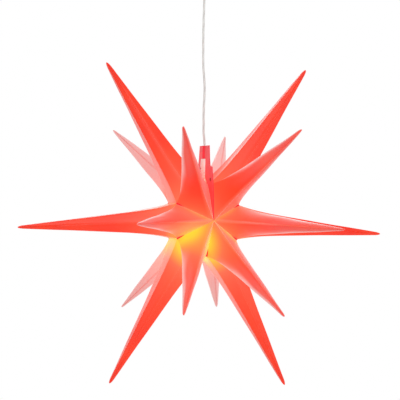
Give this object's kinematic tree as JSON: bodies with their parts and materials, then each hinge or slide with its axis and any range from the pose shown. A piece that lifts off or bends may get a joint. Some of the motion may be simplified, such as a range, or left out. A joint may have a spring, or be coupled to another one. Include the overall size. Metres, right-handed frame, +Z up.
{
  "type": "led christmas star",
  "caption": "Folded red film star with long points round a hanging lamp holder and bulb, on a cable from a round ceiling fitting.",
  "frame": {"origin": "on the ceiling, in the middle of the upper face of the fitting's plate, over the cable", "axes": "+Z up into the ceiling; +Y from the star's front to its back; +X to the star's right as seen from its front, square to the closure's seam"},
  "size_m": [0.57, 0.46, 0.664],
  "materials": {
    "star_film": "translucent red polypropylene film, satin",
    "press_stud": "moulded red acetal",
    "cable_sheath": "clear PVC over pale cores",
    "white_moulding": "moulded ABS",
    "brass": "plain",
    "bulb_cap_metal": "rolled thread, nickel plated",
    "sealing_rubber": "moulded silicone rubber",
    "bulb_housing": "moulded PBT",
    "opal_diffuser": "opal polycarbonate",
    "circuit_board": "white solder mask",
    "led_phosphor": "phosphor in silicone",
    "zinc_steel": "zinc plated"
  },
  "bodies": {
    "ceiling": {"ceiling_plate": "zinc_steel", "ceiling_cup": "white_moulding", "cup_screws": "zinc_steel", "cord_grip": "white_moulding", "grip_nut": "white_moulding", "terminal_block": "white_moulding", "terminal_screws": "brass", "cable_lead_in": "cable_sheath"},
    "cable": {"cable_drop": "cable_sheath"},
    "lamp_holder": {"cable_tail": "cable_sheath", "neck_sleeve": "white_moulding", "holder_cap": "white_moulding", "holder_body": "white_moulding", "socket_core": "white_moulding", "socket_shell": "brass", "socket_contact": "brass"},
    "star": {"film_sheet_1": "star_film", "film_sheet_2": "star_film", "film_sheet_3": "star_film", "film_sheet_4": "star_film", "film_sheet_5": "star_film", "film_sheet_6": "star_film", "film_sheet_7": "star_film", "film_sheet_8": "star_film", "film_sheet_9": "star_film", "film_sheet_10": "star_film", "film_sheet_11": "star_film", "film_sheet_12": "star_film", "stud_sockets": "press_stud"},
    "front_stud": {"front_stud": "press_stud"},
    "rear_stud": {"rear_stud": "press_stud"},
    "seal": {"seal_ring": "sealing_rubber"},
    "bulb": {"bulb_cap": "bulb_cap_metal", "bulb_contact": "brass", "bulb_housing": "bulb_housing", "led_board": "circuit_board", "led_chips": "led_phosphor", "bulb_diffuser": "opal_diffuser"}
  },
  "joints": [
    {"name": "side_swing", "type": "hinge", "parent": "ceiling", "child": "cable", "pos_m": [0, 0, -0.05505], "axis": [0, 1, 0], "range_deg": [-30, 30]},
    {"name": "front_tilt", "type": "hinge", "parent": "cable", "child": "lamp_holder", "pos_m": [0, 0, -0.29395], "axis": [1, 0, 0], "range_deg": [-20, 20]},
    {"name": "star_turn", "type": "hinge", "parent": "lamp_holder", "child": "star", "pos_m": [0, 0, -0.316], "axis": [0, 0, 1], "continuous": true},
    {"name": "front_stud_pull", "type": "slide", "parent": "star", "child": "front_stud", "axis": [-0.9997, 0, 0.0244], "range_m": [0, 0.004]},
    {"name": "rear_stud_pull", "type": "slide", "parent": "star", "child": "rear_stud", "axis": [-0.9997, 0, 0.0244], "range_m": [0, 0.004]},
    {"name": "bulb_travel", "type": "slide", "parent": "lamp_holder", "child": "seal", "axis": [0, 0, -1], "range_m": [0, 0.0127]},
    {"name": "bulb_turn", "type": "hinge", "parent": "seal", "child": "bulb", "pos_m": [0, 0, -0.4], "axis": [0, 0, -1], "range_deg": [0, 1620]}
  ],
  "couplings": [
    {"joint": "bulb_travel", "follows": "bulb_turn", "m_per_rad": 0.00044882}
  ]
}
